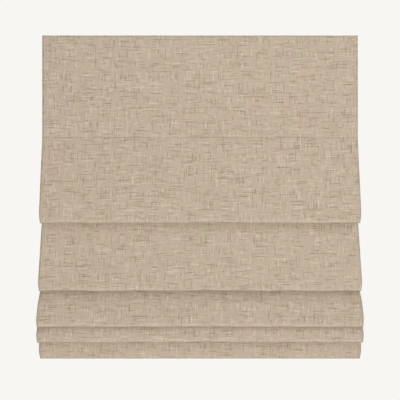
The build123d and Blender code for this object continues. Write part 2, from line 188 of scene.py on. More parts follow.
# Camera, straight in front of the cloth and level with the middle of the picture
CAMERA_PLACE = (0.0, -1.6313, -0.4786)
CAMERA_LENS = 49.7
CAMERA_SENSOR = 36.0

RIB_ZS = [CLOTH_TOP_Z - share * SHOWN_DROP for share in RIB_DROP_SHARES]


def linear(colour):
    """An sRGB hex colour as linear RGBA: each channel follows the standard two-part curve."""
    srgb = np.array([int(colour[i:i + 2], 16) for i in (1, 3, 5)]) / 255
    curve = np.where(srgb <= 0.04045, srgb / 12.92, ((srgb + 0.055) / 1.055) ** 2.4)
    return (*curve.tolist(), 1.0)


def add(tree, kind, inputs=None, stops=(), **settings):
    """Add one node with its settings; each input takes a value, or another node's output as a link.

    A colour ramp also takes its stops, in rising order, each a position and a colour.
    """
    node = tree.nodes.new(kind)
    for name, value in settings.items():
        setattr(node, name, value)
    for socket, value in (inputs or {}).items():
        if isinstance(value, bpy.types.NodeSocket):
            tree.links.new(value, node.inputs[socket])
        else:
            node.inputs[socket].default_value = value
    for number, (position, colour) in enumerate(stops):
        ramp = node.color_ramp.elements
        stop = ramp[number] if number < len(ramp) else ramp.new(position)
        stop.position, stop.color = position, linear(colour)
    return node


def finish_material(name, inputs):
    """Start a material with one principled surface; returns it, its node tree and the surface node."""
    material = bpy.data.materials.new(name)
    material.use_nodes = True
    tree = material.node_tree
    tree.nodes.clear()
    surface = add(tree, "ShaderNodeBsdfPrincipled", inputs)
    add(tree, "ShaderNodeOutputMaterial", {"Surface": surface.outputs["BSDF"]})
    return material, tree, surface


def smooth(low, high, value):
    """Smoothstep: 0 below low, 1 above high, and 3t^2 - 2t^3 between."""
    t = np.clip((value - low) / (high - low), 0, 1)
    return t * t * (3 - 2 * t)


def waves(table, x, z):
    """A sum of sine waves across the width: height * sin(x / length + phase + z / drift) for each row."""
    return sum(height * np.sin(x / length + phase + z / drift) for height, length, phase, drift in table)


def rounded_path(corners, radii, arc_points):
    """Straight runs whose corners are replaced by tangent arcs of the given radii.

    Each arc starts radius * tan(half turn) before its corner and sweeps the turn about a centre that
    lies one radius to the inside. Returns the points and, for each corner, the row of its arc's middle.
    """
    runs = np.diff(corners, axis=0)
    runs /= np.linalg.norm(runs, axis=1, keepdims=True)
    before, after = runs[:-1], runs[1:]
    sideways = before[:, 0] * after[:, 1] - before[:, 1] * after[:, 0]
    turn = np.arctan2(sideways, (before * after).sum(axis=1))
    start = corners[1:-1] - before * (radii * np.tan(np.abs(turn) / 2))[:, None]
    inside = np.stack([-before[:, 1], before[:, 0]], axis=1) * np.sign(turn)[:, None]
    centre = start + inside * radii[:, None]
    angle = turn[:, None] * np.linspace(0, 1, arc_points)
    spoke = start - centre
    arcs = centre[:, None] + np.stack([
        spoke[:, 0, None] * np.cos(angle) - spoke[:, 1, None] * np.sin(angle),
        spoke[:, 0, None] * np.sin(angle) + spoke[:, 1, None] * np.cos(angle),
    ], axis=2)
    points = np.concatenate([corners[:1], arcs.reshape(-1, 2), corners[-1:]])
    return points, 1 + arc_points * np.arange(len(radii)) + arc_points // 2


def lengths_along(path):
    """Distance along a path from its start to each of its points."""
    return np.concatenate([[0], np.cumsum(np.linalg.norm(np.diff(path, axis=0), axis=1))])


def paced(path, rows, turn_weight, also=()):
    """A path's points spaced again: even steps in its length plus turn_weight for each radian it turns.

    Points at the lengths listed in also join them.
    """
    steps = np.diff(path, axis=0)
    heading = np.unwrap(np.arctan2(steps[:, 1], steps[:, 0]))
    turning = np.abs(np.diff(heading, prepend=heading[0]))
    pace = np.concatenate([[0], np.cumsum(np.linalg.norm(steps, axis=1) + turn_weight * turning)])
    extra = np.interp(also, lengths_along(path), pace)
    stops = np.sort(np.concatenate([np.linspace(0, pace[-1], rows), extra]))
    return np.stack([np.interp(stops, pace, path[:, 0]), np.interp(stops, pace, path[:, 1])], axis=1)


def left_normals(path):
    """Unit normals to the left of a path, from its central differences."""
    along = np.gradient(path, axis=0)
    along /= np.linalg.norm(along, axis=1, keepdims=True)
    return np.stack([-along[:, 1], along[:, 0]], axis=1)


def grid_faces(rows, columns, wrap_rows=False, wrap_columns=False):
    """Quads of a grid whose vertices are numbered row by row, joined round where it wraps."""
    r = np.arange(rows if wrap_rows else rows - 1)[:, None]
    c = np.arange(columns if wrap_columns else columns - 1)[None, :]
    here, below = r * columns, (r + 1) % rows * columns
    c_next = (c + 1) % columns
    return np.stack([here + c, here + c_next, below + c_next, below + c], axis=2).reshape(-1, 4)


def make_piece(name, points, faces, material, uv=None, **attributes):
    """A smooth-shaded mesh from vertices in millimetres; uv and attributes are given for each vertex."""
    mesh = bpy.data.meshes.new(name)
    mesh.from_pydata((points.reshape(-1, 3) * MM).tolist(), [], faces.tolist())
    mesh.polygons.foreach_set("use_smooth", np.ones(len(faces), dtype=bool))
    if uv is not None:
        loops = np.empty(len(mesh.loops), dtype=np.int32)
        mesh.loops.foreach_get("vertex_index", loops)
        layer = mesh.uv_layers.new(name="weave")
        layer.data.foreach_set("uv", (uv.reshape(-1, 2)[loops] * MM).astype(np.float32).ravel())
    for label, values in attributes.items():
        attribute = mesh.attributes.new(label, "FLOAT", "POINT")
        attribute.data.foreach_set("value", values.astype(np.float32).ravel())
    mesh.materials.append(material)
    mesh.update()
    piece = bpy.data.objects.new(name, mesh)
    bpy.context.scene.collection.objects.link(piece)
    return piece


def thicken(piece, thickness, offset):
    """Give a sheet its thickness: along its normals for an offset of 1, half to each side for 0."""
    solid = piece.modifiers.new("thickness", "SOLIDIFY")
    solid.thickness = thickness * MM
    solid.offset = offset
    solid.use_even_offset = True


def apply_modifiers(piece):
    """Make a piece's modifiers part of its mesh."""
    bpy.context.view_layer.update()
    graph = bpy.context.evaluated_depsgraph_get()
    evaluated = piece.evaluated_get(graph)
    finished = bpy.data.meshes.new_from_object(evaluated, preserve_all_data_layers=True, depsgraph=graph)
    piece.modifiers.clear()
    piece.data = finished


def cloth_route():
    """Corners of the cloth's face as reach, drop and radius: down to a fold's edge, round it, up to a rib.

    Also gives which corners are the folds' and the hem's front edges, and which is the last rib.
    """
    route = [(0, 0, 0), (0, RIB_DROP_SHARES[0] * SHOWN_DROP, RIB_CREASE_RADIUS)]
    edges = []
    round_radius = FOLD_RADIUS * FOLD_ROUND_SHARE
    for fold, (reach_share, drop_share) in enumerate(zip(FOLD_REACH_SHARES, FOLD_DROP_SHARES)):
        for knee_reach, knee_drop in zip(KNEE_REACH_SHARES[fold], KNEE_DROP_SHARES[fold]):
            route.append((knee_reach * FOLD_REACH, knee_drop * SHOWN_DROP, KNEE_RADIUS))
        reach, drop = reach_share * FOLD_REACH, drop_share * SHOWN_DROP
        rib_drop = RIB_DROP_SHARES[fold + 1] * SHOWN_DROP
        edges.append(len(route) - 1)
        route += [
            (reach, drop, round_radius),
            (reach - 2 * FOLD_RADIUS, drop, round_radius),
            (0, rib_drop - RIB_FLAT / 2, RIB_TURN_RADIUS),
            (0, rib_drop + RIB_FLAT / 2, RIB_TURN_RADIUS),
        ]
    last_rib = len(route) - 2
    edges.append(len(route))
    hem_radius = (BAR_THICKNESS / 2 + SEAT_GAP + CLOTH_THICKNESS) * HEM_ROUND_SHARE
    hem_back = HEM_REACH - BAR_THICKNESS - 2 * (SEAT_GAP + CLOTH_THICKNESS)
    pocket_top = SHOWN_DROP - CLOTH_THICKNESS - BAR_HEIGHT - HEM_SEAM_HEIGHT
    lean = HEM_REACH / (pocket_top - route[-1][1])
    pinch_rise = HEM_PINCH_HEIGHT - HEM_SEAM_HEIGHT
    seam_reach = HEM_REACH - 4 * CLOTH_THICKNESS - HEM_SLACK
    route += [
        (HEM_REACH, pocket_top, HEM_FRONT_RADIUS),
        (HEM_REACH, SHOWN_DROP, hem_radius),
        (hem_back, SHOWN_DROP, hem_radius),
        (hem_back, pocket_top + HEM_SEAM_HEIGHT, HEM_PINCH_RADIUS),
        (seam_reach - lean * pinch_rise, pocket_top - pinch_rise, HEM_PINCH_RADIUS),
        (seam_reach - lean * HEM_PINCH_HEIGHT, pocket_top - HEM_PINCH_HEIGHT, 0),
    ]
    return np.array(route, dtype=float), edges, last_rib


def cloth_rows():
    """The cloth's side view as rows: place, length along, slackness, nearness to a front edge, and painted
    highlight.

    Slackness falls from 1 to 0 over a run below the last rib. Nearness and the painted highlight are bell
    curves of the length from the folds' and the hem's front edges.
    """
    route, edges, last_rib = cloth_route()
    corners = np.stack([CLOTH_FACE_Y - route[:, 0], CLOTH_TOP_Z - route[:, 1]], axis=1)
    dense, middles = rounded_path(corners, route[1:-1, 2], ARC_POINTS)
    crease_stops = RIB_DROP_SHARES[0] * SHOWN_DROP + np.linspace(*CREASE_SPAN, CREASE_ROWS)
    path = paced(dense, CLOTH_ROWS, RADIAN_COUNTS_AS, crease_stops)
    along = lengths_along(path)
    marks = lengths_along(dense)[middles] * along[-1] / lengths_along(dense)[-1]
    slack = smooth(marks[last_rib - 1] + SLACK_RUN, marks[last_rib - 1], along)[:, None]
    past_edges = along[:, None] - marks[edges]
    near_edge = np.exp(-(past_edges / EDGE_SPREAD) ** 2).max(axis=1)[:, None]
    worn_edge = np.exp(-((past_edges + EDGE_HIGHLIGHT_BACK) / EDGE_HIGHLIGHT_SPREAD) ** 2).max(axis=1)[:, None]
    return path, along, slack, near_edge, worn_edge


def from_rib(x, z):
    """Height above the first rib's stitched line, which wanders in waves across the width."""
    return z - RIB_ZS[0] + SEAM_DROP - waves(SEAM_WAVES, x, z)


def relaxed(x, path, slack, near_edge):
    """How far soft cloth strays from its drawn place, in millimetres along X, Y and Z.

    Sums of long and short sine waves across the width are scaled by a smoothstep of the reach and by each
    row's slack, so that nothing moves at the ribs, the top or the hem. Above the first rib's stitched line
    the cloth stands out as a lip: it decays upwards as an exponential and steps back at the line as a
    smoothstep. Fold ends droop and draw in by decaying exponentials of their distance from the side.
    """
    y, z = path[:, :1], path[:, 1:]
    reach = CLOTH_FACE_Y - y
    free = smooth(*FREE_REACH, reach) * slack
    from_side = CLOTH_WIDTH / 2 - np.abs(x)
    droop = END_DROOP * np.exp(-from_side / END_DROOP_LENGTH)
    draw_in = -EDGE_DRAW_IN * np.sign(x) * near_edge * np.exp(-from_side / EDGE_DRAW_LENGTH)
    above = from_rib(x, z)
    lip = np.exp(-np.maximum(above, 0) / LIP_FADE) * smooth(-LIP_STEP, LIP_STEP, above)
    lip = lip * (LIP_HEIGHT + waves(LIP_WAVES, x, z))
    hang = smooth(*HANG_TOP_ZS, z) * smooth(*HANG_BOTTOM_ZS, z) * (HANG_DEPTH + waves(HANG_WAVES, x, z))
    hem_ridge = HEM_RIDGE * smooth(SIDE_HEM + HEM_RIDGE_STEP, SIDE_HEM - HEM_RIDGE_STEP, from_side)
    forward = free * waves(OUT_WAVES, x, z) + smooth(*FACE_REACH, reach) * (lip + hang) + hem_ridge
    return draw_in, -forward, free * (waves(SAG_WAVES, x, z) - droop - FOLD_SAG)


def hanging_cloth(rows, material):
    """The cloth as one sheet: its folded side view carried across the width, loosened by relaxed()."""
    path, along, slack, near_edge, worn_edge = rows
    x = np.linspace(-CLOTH_WIDTH / 2, CLOTH_WIDTH / 2, CLOTH_COLUMNS)[None, :]
    x_stray, y_stray, z_stray = relaxed(x, path, slack, near_edge)
    points = np.stack([x + x_stray, path[:, :1] + y_stray, path[:, 1:] + z_stray], axis=2)
    uv = np.stack([x + 0 * y_stray, -along[:, None] + 0 * y_stray], axis=2)
    on_face = smooth(*FACE_REACH, CLOTH_FACE_Y - path[:, :1])
    above = from_rib(x, path[:, 1:])
    # Painted highlight: paler cloth just behind each fold's and the hem's front edge, and just above the
    # first rib's stitched line
    worn = worn_edge + LIP_HIGHLIGHT * np.exp(-((above - LIP_HIGHLIGHT_HEIGHT) / LIP_HIGHLIGHT_SPREAD) ** 2) * on_face
    # Painted shade of the crease along the first rib's stitched line, together with the thread's own darker
    # tone
    sewn = np.exp(-(above / STITCH_SHADE_SPREAD) ** 2) * on_face * (STITCH_SHADE_LEVEL + waves(STITCH_SHADE_WAVES, x, path[:, 1:]))
    faces = grid_faces(*points.shape[:2])
    cloth = make_piece("hanging_cloth", points, faces, material, uv, worn=worn, sewn=sewn)
    thicken(cloth, CLOTH_THICKNESS, 1)
    return cloth


def side_hem(name, side, rows, material):
    """The cloth's edge turned to the back: its side view moved back by a cloth's thickness, as a strip."""
    path, along, slack, near_edge, _ = rows
    half = CLOTH_WIDTH / 2
    x = side * np.linspace(half - TURNING_INSET, half - SIDE_HEM, TURNING_COLUMNS)[None, :]
    back = path + left_normals(path) * (CLOTH_THICKNESS + TURNING_GAP)
    x_stray, y_stray, z_stray = relaxed(x, path, slack, near_edge)
    points = np.stack([x + x_stray, back[:, :1] + y_stray, back[:, 1:] + z_stray], axis=2)
    uv = np.stack([x + 0 * y_stray, along[:, None] + 0 * x], axis=2)
    flat = np.zeros(points.shape[:2])
    faces = grid_faces(*points.shape[:2])
    facing_back = faces if side < 0 else faces[:, ::-1]
    hem = make_piece(name, points, facing_back, material, uv, worn=flat, sewn=flat)
    thicken(hem, TURNING_THICKNESS, 1)
    return hem


def side_stitches(name, side, rows, material):
    """The short stitches that hold a turned side, where they show on the cloth's face at an even pitch."""
    path, along, slack, near_edge, _ = rows
    stops = np.arange(SIDE_STITCH_PITCH, along[-1], SIDE_STITCH_PITCH)
    every_row = np.concatenate([path, left_normals(path), slack, near_edge], axis=1)
    at_stops = np.stack([np.interp(stops, along, column) for column in every_row.T], axis=1)
    place, back, slack, near_edge = np.split(at_stops, (2, 4, 5), axis=1)
    back = back / np.linalg.norm(back, axis=1, keepdims=True)
    x = np.full((1, 1), side * (CLOTH_WIDTH / 2 - SIDE_HEM + SIDE_STITCH_MARGIN))
    x_stray, y_stray, z_stray = relaxed(x, place, slack, near_edge)
    out = np.concatenate([0 * x_stray, -back], axis=1)
    ahead = np.stack([0 * stops, back[:, 1], -back[:, 0]], axis=1)
    on_cloth = np.concatenate([x + x_stray, place[:, :1] + y_stray, place[:, 1:] + z_stray], axis=1)
    return stitch_row(name, on_cloth + out * SIDE_STITCH_WIDTH / 4, ahead, out, SIDE_STITCH_WIDTH, material)


def stitch_row(name, centres, along, out, width, material):
    """Sewn stitches: each is a small spindle, a circle whose radius is a half sine along its length."""
    turns = np.linspace(0, 2 * np.pi, 6, endpoint=False)
    steps = np.linspace(0.08, 0.92, 4)
    radius = width / 2 * np.sin(np.pi * steps)[:, None]
    across = np.cross(out, along)
    local = np.stack([(steps[:, None] - 0.5) * STITCH_LENGTH + 0 * turns, radius * np.cos(turns),
                      radius * np.sin(turns)], axis=2).reshape(-1, 3)
    axes = np.stack([along, across, out], axis=1)
    points = centres[:, None, :] + np.einsum("vk,nkc->nvc", local, axes)
    near_end = np.array([[3, 2, 1, 0], [5, 4, 3, 0]])
    far_end = near_end[:, ::-1] + len(local) - len(turns)
    faces = np.concatenate([grid_faces(len(steps), len(turns), wrap_columns=True), near_end, far_end])
    all_faces = (faces[None] + len(local) * np.arange(len(centres))[:, None, None]).reshape(-1, 4)
    return make_piece(name, points, all_faces, material)


def pocket_tube(name, rib_z, material):
    """A rib's stitched pocket: a flat stitched tape whose middle swells into a round tube over the rod.

    The outline is a loop of points on the tube's circle, but past a set angle they run out along the
    flange's back, round its edge and in along its front. It is carried along X with a slight gather at
    every second stitch, as a raised cosine, and joins a plain bore inside.
    """
    sides, columns = 44, 252
    flange_from, flange_edge = np.radians(128), 0.45
    root_share = 0.8
    gather_depth, gather_drift = 0.035, 31.0
    turn = np.linspace(-np.pi, np.pi, sides, endpoint=False) + np.pi / sides
    circle = np.stack([np.cos(turn), np.sin(turn)], axis=1)
    axis = np.array([ROD_Y, 0])
    tube, bore = axis + POCKET_RADIUS * circle, axis + POCKET_BORE * circle
    in_flange = np.abs(turn) > flange_from
    past = (np.abs(turn) - flange_from) / (np.pi - flange_from)
    rise = np.interp(past, [0, flange_edge, 1], [POCKET_RADIUS * root_share, FLANGE_HEIGHT / 2, 0])
    depth = np.where(past < flange_edge, FLANGE_FRONT_Y + FLANGE_THICKNESS, FLANGE_FRONT_Y)
    outline = np.where(in_flange[:, None], np.stack([depth, np.sign(turn) * rise], axis=1), tube)
    x = np.linspace(-INNER_WIDTH / 2, INNER_WIDTH / 2, columns)
    every_second = 0.5 + 0.5 * np.cos(2 * np.pi * x / (2 * STITCH_PITCH))
    gather = 1 - gather_depth * every_second * np.sin(x / gather_drift + rib_z) ** 2
    swell = np.where(in_flange[None, :, None], 1.0, gather[:, None, None])
    loops = np.concatenate([axis + (outline - axis) * swell, np.broadcast_to(bore, (2, *bore.shape))])
    xs = np.concatenate([x, x[[-1, 0]]])[:, None]
    points = np.stack([xs + 0 * loops[..., 0], loops[..., 0], rib_z + loops[..., 1]], axis=2)
    around = np.arange(sides) * 2 * np.pi * POCKET_RADIUS / sides
    uv = np.stack([xs + 0 * around, around + 0 * xs], axis=2)
    faces = grid_faces(*points.shape[:2], wrap_rows=True, wrap_columns=True)
    return make_piece(name, points, faces, material, uv)


def wound_tape(name, x_middle, lowest_z, material):
    """A lift tape: a spiral round the reel's hub, opening by one thickness a turn, then a fall to the hem.

    The spiral ends where it points straight down at the tape's own line. The fall carries on from there and
    leans forward below the last rib, with rounded bends, to the anchor behind the hem.
    """
    roll_rows, fall_rows, bend_points, columns = 400, 110, 8, 5
    thickness_share = 0.85
    turns = (ROLL_RADIUS - HUB_RADIUS - TAPE_THICKNESS / 2) / TAPE_THICKNESS
    angle = np.linspace(np.pi + 2 * np.pi * turns, np.pi, roll_rows)
    radius = ROLL_RADIUS - TAPE_THICKNESS * (angle - np.pi) / (2 * np.pi)
    spiral = np.stack([SHAFT_Y + radius * np.cos(angle), SHAFT_Z - radius * np.sin(angle)], axis=1)
    corners = np.array([(TAPE_Y, SHAFT_Z), (TAPE_Y, TAPE_LEAN_Z), (TAPE_ANCHOR_Y, TAPE_STRAIGHT_Z),
                        (TAPE_ANCHOR_Y, lowest_z)])
    fall, _ = rounded_path(corners, np.array([TAPE_BEND_RADIUS, TAPE_BEND_RADIUS]), bend_points)
    path = np.concatenate([spiral, paced(fall, fall_rows, 0.0)[1:]])
    along = lengths_along(path)[:, None]
    x = np.linspace(-TAPE_WIDTH / 2, TAPE_WIDTH / 2, columns)[None, :]
    points = np.stack([x_middle + x + 0 * along, path[:, :1] + 0 * x, path[:, 1:] + 0 * x], axis=2)
    uv = np.stack([x + 0 * along, along + 0 * x], axis=2)
    tape = make_piece(name, points, grid_faces(*points.shape[:2]), material, uv)
    thicken(tape, TAPE_THICKNESS * thickness_share, 0)
    apply_modifiers(tape)
    return tape


def grip_strip(name, node, material):
    """A grip tape: a flat rounded bar, closed at its ends.

    Its section is a squared-off circle, the sine and cosine raised to small powers, carried along X.
    """
    sides, columns = 32, 60
    round_power, flat_power = 0.35, 0.12
    low, high = (np.array(corner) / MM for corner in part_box(node))
    turn = np.linspace(0, 2 * np.pi, sides, endpoint=False)
    round_y = np.sign(np.cos(turn)) * np.abs(np.cos(turn)) ** round_power
    round_z = np.sign(np.sin(turn)) * np.abs(np.sin(turn)) ** flat_power
    middle, half = (low + high) / 2, (high - low) / 2
    x = np.linspace(low[0], high[0], columns)
    shrink = np.concatenate([[0.0], np.ones(len(x)), [0.0]])[:, None]
    xs = np.concatenate([x[:1], x, x[-1:]])[:, None]
    points = np.stack([xs + 0 * turn, middle[1] + half[1] * round_y * shrink,
                       middle[2] + half[2] * round_z * shrink], axis=2)
    return make_piece(name, points, grid_faces(*points.shape[:2], wrap_columns=True), material)


def slub_linen():
    """Plain-woven slub linen: matt, with thick and thin threads that show as short pale and dark dashes.

    Slubs lie in rows and columns, and each row has a noise of its own along its length: where that is high
    the slub swells pale, where it is low it thins dark, and between it is plain. Under them lies the plain
    weave of single threads, which pass over and under as the product of two sines. Threads and picks are
    drawn about twice as coarse as real ones, so that they show.
    """
    thread, pick, fluff_size = 1.6, 0.8, 1.5
    wander_size, wander_depth, cast_size = 55.0, 2.0, 34.0
    swell_from, swell_to, thin_to = 0.65, 0.75, 0.26
    fluff_share, weave_share, contrast, level = 0.8, 0.5, 0.29, 0.385
    cast_share, worn_share, sewn_share = 0.34, 0.22, 0.4
    material, tree, surface = finish_material("slub_linen", {
        "Roughness": 0.92, "Specular IOR Level": 0.18, "Sheen Weight": 0.1, "Sheen Roughness": 0.6})
    uv = add(tree, "ShaderNodeUVMap", uv_map="weave").outputs["UV"]

    # Threads wander a little from their straight lines
    waver = add(tree, "ShaderNodeTexNoise", {
        "Vector": uv, "Scale": 1 / (wander_size * MM), "Detail": 1.0}).outputs["Color"]
    wander = add(tree, "ShaderNodeVectorMath", {0: waver, 1: (0.5, 0.5, 0.5)}, operation="SUBTRACT")
    drift = add(tree, "ShaderNodeVectorMath", {0: wander.outputs[0], "Scale": wander_depth * MM},
                operation="SCALE")
    woven_uv = add(tree, "ShaderNodeVectorMath", {0: uv, 1: drift.outputs[0]}, operation="ADD").outputs[0]

    # Weft slubs run along X and warp slubs along Y: length, seed of each row, and how thin ones darken
    slubs = (("X", "Y", 50.0, 7.31, 0.36, -1.5), ("Y", "X", 34.0, 5.77, 0.35, -1.3))
    tones = []
    for run, row, slub, seed, thin_from, thin_tone in slubs:
        per_metre = {run: 1 / (slub * MM), row: 1 / (thread * MM)}
        pulled = add(tree, "ShaderNodeMapping", {
            "Vector": woven_uv, "Scale": (per_metre["X"], per_metre["Y"], 1)}).outputs[0]
        axes = add(tree, "ShaderNodeSeparateXYZ", {0: pulled}).outputs
        number = add(tree, "ShaderNodeMath", {0: axes[row]}, operation="FLOOR").outputs[0]
        row_seed = add(tree, "ShaderNodeMath", {0: number, 1: seed}, operation="MULTIPLY").outputs[0]
        place = add(tree, "ShaderNodeCombineXYZ", {run: axes[run], row: row_seed}).outputs[0]
        swell = add(tree, "ShaderNodeTexNoise", {"Vector": place, "Scale": 1.0, "Detail": 1.0},
                    noise_dimensions="2D").outputs["Fac"]
        pale = add(tree, "ShaderNodeMapRange", {
            "Value": swell, "From Min": swell_from, "From Max": swell_to, "To Max": 1.0}).outputs[0]
        dark = add(tree, "ShaderNodeMapRange", {
            "Value": swell, "From Min": thin_from, "From Max": thin_to, "To Max": thin_tone}).outputs[0]
        tones.append(add(tree, "ShaderNodeMath", {0: pale, 1: dark}, operation="ADD").outputs[0])
    crossed = add(tree, "ShaderNodeMath", {0: tones[0], 1: tones[1]}, operation="ADD").outputs[0]

    # Single threads over and under, and the fluff on them
    picks = add(tree, "ShaderNodeMapping", {
        "Vector": woven_uv, "Scale": (np.pi / (pick * MM),) * 3}).outputs[0]
    pick_axes = add(tree, "ShaderNodeSeparateXYZ", {0: picks}).outputs
    over = add(tree, "ShaderNodeMath", {0: pick_axes["X"]}, operation="SINE").outputs[0]
    under = add(tree, "ShaderNodeMath", {0: pick_axes["Y"]}, operation="SINE").outputs[0]
    woven = add(tree, "ShaderNodeMath", {0: over, 1: under}, operation="MULTIPLY").outputs[0]
    fluff = add(tree, "ShaderNodeTexNoise", {
        "Vector": uv, "Scale": 1 / (fluff_size * MM), "Detail": 0.0}).outputs["Fac"]
    speckled = add(tree, "ShaderNodeMath", {0: fluff, 1: fluff_share, 2: crossed},
                   operation="MULTIPLY_ADD").outputs[0]
    raised = add(tree, "ShaderNodeMath", {0: woven, 1: weave_share, 2: speckled},
                 operation="MULTIPLY_ADD").outputs[0]
    tone = add(tree, "ShaderNodeMath", {0: raised, 1: contrast, 2: level},
               operation="MULTIPLY_ADD").outputs[0]

    # Colour: the threads' own, a patchy cast, painted highlight on the fold edges and the lip, and the
    # stitched line darkened by its thread and by painted shade
    threads = add(tree, "ShaderNodeValToRGB", {"Fac": tone},
                  stops=((0.1, "#8f7d69"), (0.5, "#c5b3a0"), (0.9, "#ecdfcb"))).outputs["Color"]
    cast = add(tree, "ShaderNodeTexNoise", {
        "Vector": uv, "Scale": 1 / (cast_size * MM), "Detail": 2.0}).outputs["Fac"]
    casts = add(tree, "ShaderNodeValToRGB", {"Fac": cast},
                stops=((0.35, "#c8b0a1"), (0.65, "#beb494"))).outputs["Color"]
    colour = add(tree, "ShaderNodeMix", {0: cast_share, 6: threads, 7: casts}, data_type="RGBA").outputs[2]
    # Mixes in the painted highlight, then the painted shade and thread tone of the stitched line, each by
    # its attribute
    for label, share, tint in (("worn", worn_share, "#dccfba"), ("sewn", sewn_share, "#8d7c68")):
        where = add(tree, "ShaderNodeAttribute", attribute_name=label).outputs["Fac"]
        amount = add(tree, "ShaderNodeMath", {0: where, 1: share}, operation="MULTIPLY").outputs[0]
        colour = add(tree, "ShaderNodeMix", {0: amount, 6: colour, 7: linear(tint)},
                     data_type="RGBA").outputs[2]
    bump = add(tree, "ShaderNodeBump", {"Height": tone, "Strength": 0.3, "Distance": 0.5 * MM})
    tree.links.new(colour, surface.inputs["Base Color"])
    tree.links.new(bump.outputs["Normal"], surface.inputs["Normal"])
    return material


def woven_tape(name, colour, shade, rib_pitch):
    """Narrow woven polyester: close ribs both ways as triangle waves, pale on their crowns, a soft sheen."""
    material, tree, surface = finish_material(name, {
        "Roughness": 0.8, "Specular IOR Level": 0.3, "Sheen Weight": 0.1})
    uv = add(tree, "ShaderNodeUVMap", uv_map="weave").outputs["UV"]
    scaled = add(tree, "ShaderNodeMapping", {"Vector": uv, "Scale": (1 / (rib_pitch * MM),) * 3}).outputs[0]
    axes = add(tree, "ShaderNodeSeparateXYZ", {0: scaled}).outputs
    crown_u = add(tree, "ShaderNodeMath", {0: axes["X"], 1: 0.5}, operation="PINGPONG").outputs[0]
    crown_v = add(tree, "ShaderNodeMath", {0: axes["Y"], 1: 0.5}, operation="PINGPONG").outputs[0]
    crown = add(tree, "ShaderNodeMath", {0: crown_u, 1: crown_v}, operation="ADD").outputs[0]
    uneven = add(tree, "ShaderNodeTexNoise", {"Vector": scaled, "Scale": 0.4, "Detail": 3.0}).outputs["Fac"]
    height = add(tree, "ShaderNodeMath", {0: uneven, 1: 0.5, 2: crown}, operation="MULTIPLY_ADD").outputs[0]
    tones = add(tree, "ShaderNodeValToRGB", {"Fac": height}, stops=((0.35, shade), (1.0, colour)))
    bump = add(tree, "ShaderNodeBump", {"Height": height, "Strength": 0.4, "Distance": 0.2 * MM})
    tree.links.new(tones.outputs["Color"], surface.inputs["Base Color"])
    tree.links.new(bump.outputs["Normal"], surface.inputs["Normal"])
    return material


def grained(name, colour, shade, grain, stretch, bump_depth, rough, inputs):
    """A finish with a fine grain of its own: noise of a given size, drawn out along X where it was rolled.

    The grain tints the colour towards its shade, varies the roughness and lifts the surface a little.
    """
    grain_low, grain_high = 0.3, 0.7
    material, tree, surface = finish_material(name, inputs)
    place = add(tree, "ShaderNodeTexCoord").outputs["Object"]
    across = 1 / (grain * MM)
    pulled = add(tree, "ShaderNodeMapping", {
        "Vector": place, "Scale": (1 / (grain * stretch * MM), across, across)}).outputs[0]
    noise = add(tree, "ShaderNodeTexNoise", {"Vector": pulled, "Scale": 1.0, "Detail": 4.0}).outputs["Fac"]
    tones = add(tree, "ShaderNodeValToRGB", {"Fac": noise},
                stops=((grain_low, shade), (grain_high, colour)))
    roughness = add(tree, "ShaderNodeMapRange", {
        "Value": noise, "From Min": grain_low, "From Max": grain_high,
        "To Min": rough[0], "To Max": rough[1]})
    bump = add(tree, "ShaderNodeBump", {"Height": noise, "Strength": 0.3, "Distance": bump_depth * MM})
    tree.links.new(tones.outputs["Color"], surface.inputs["Base Color"])
    tree.links.new(roughness.outputs[0], surface.inputs["Roughness"])
    tree.links.new(bump.outputs["Normal"], surface.inputs["Normal"])
    return material


# Finishes; after its two colours, each hard one has its grain's size, stretch and depth, and its roughness
linen = slub_linen()
# Flat polyester webbing of the lift lines: off-white, faint ribs
webbing = woven_tape("polyester_webbing", "#efebe0", "#d6d0c2", 1.6)
# Pocket tape sewn over the rods: cream, a plain weave
pocket_tape = woven_tape("polyester_pocket_tape", "#e6dfcf", "#cdc4b1", 1.8)
# Sewing thread: spun polyester, matt, close to the cloth's colour
sewing_thread = grained("spun_sewing_thread", "#d8cbb6", "#bfb09a", 0.8, 3.0, 0.1, (0.8, 0.9), {
    "Specular IOR Level": 0.2})
# Pale cotton thread of the side stitches: a faint lustre, lighter than the cloth
pale_thread = grained("pale_cotton_thread", "#f3ebd6", "#e4d9bf", 0.8, 1.0, 0.1, (0.7, 0.85), {
    "Sheen Weight": 0.1})
# Nylon grip tape: a fuzzy white pile with no shine
pile = grained("nylon_grip_pile", "#efede6", "#d5d2c8", 0.9, 1.0, 0.4, (0.85, 0.95), {
    "Sheen Weight": 0.2})
# Powder-coated aluminium: white, even, with a fine orange-peel
powder_coat = grained("powder_coated_aluminium", "#eeede9", "#e6e5e0", 1.4, 1.0, 0.06, (0.38, 0.46), {
    "IOR": 1.5})
# Mill-finish extruded aluminium: grey, with die lines drawn along its length
mill_aluminium = grained("extruded_aluminium", "#d0d2d4", "#b4b6b9", 0.7, 160.0, 0.04, (0.28, 0.42), {
    "Metallic": 1.0})
# Zinc-plated steel: bluish grey with a soft mottle
zinc_steel = grained("zinc_plated_steel", "#c9ccd0", "#a9adb3", 4.0, 1.5, 0.03, (0.25, 0.4), {
    "Metallic": 1.0})
# Blued spring strip: dark, straw-blue, rolled along its length
spring_steel = grained("blued_spring_steel", "#7d8593", "#5d6470", 1.0, 12.0, 0.03, (0.22, 0.36), {
    "Metallic": 1.0})
# Moulded ABS: white, a light spark-eroded texture
abs_white = grained("moulded_abs", "#eeeeea", "#e4e4df", 0.9, 1.0, 0.05, (0.42, 0.55), {
    "IOR": 1.53})
# Acetal gears and drums: waxy off-white with a faint sheen
acetal = grained("acetal_moulding", "#e0dfd6", "#d2d1c7", 1.2, 1.0, 0.03, (0.3, 0.4), {
    "IOR": 1.48})
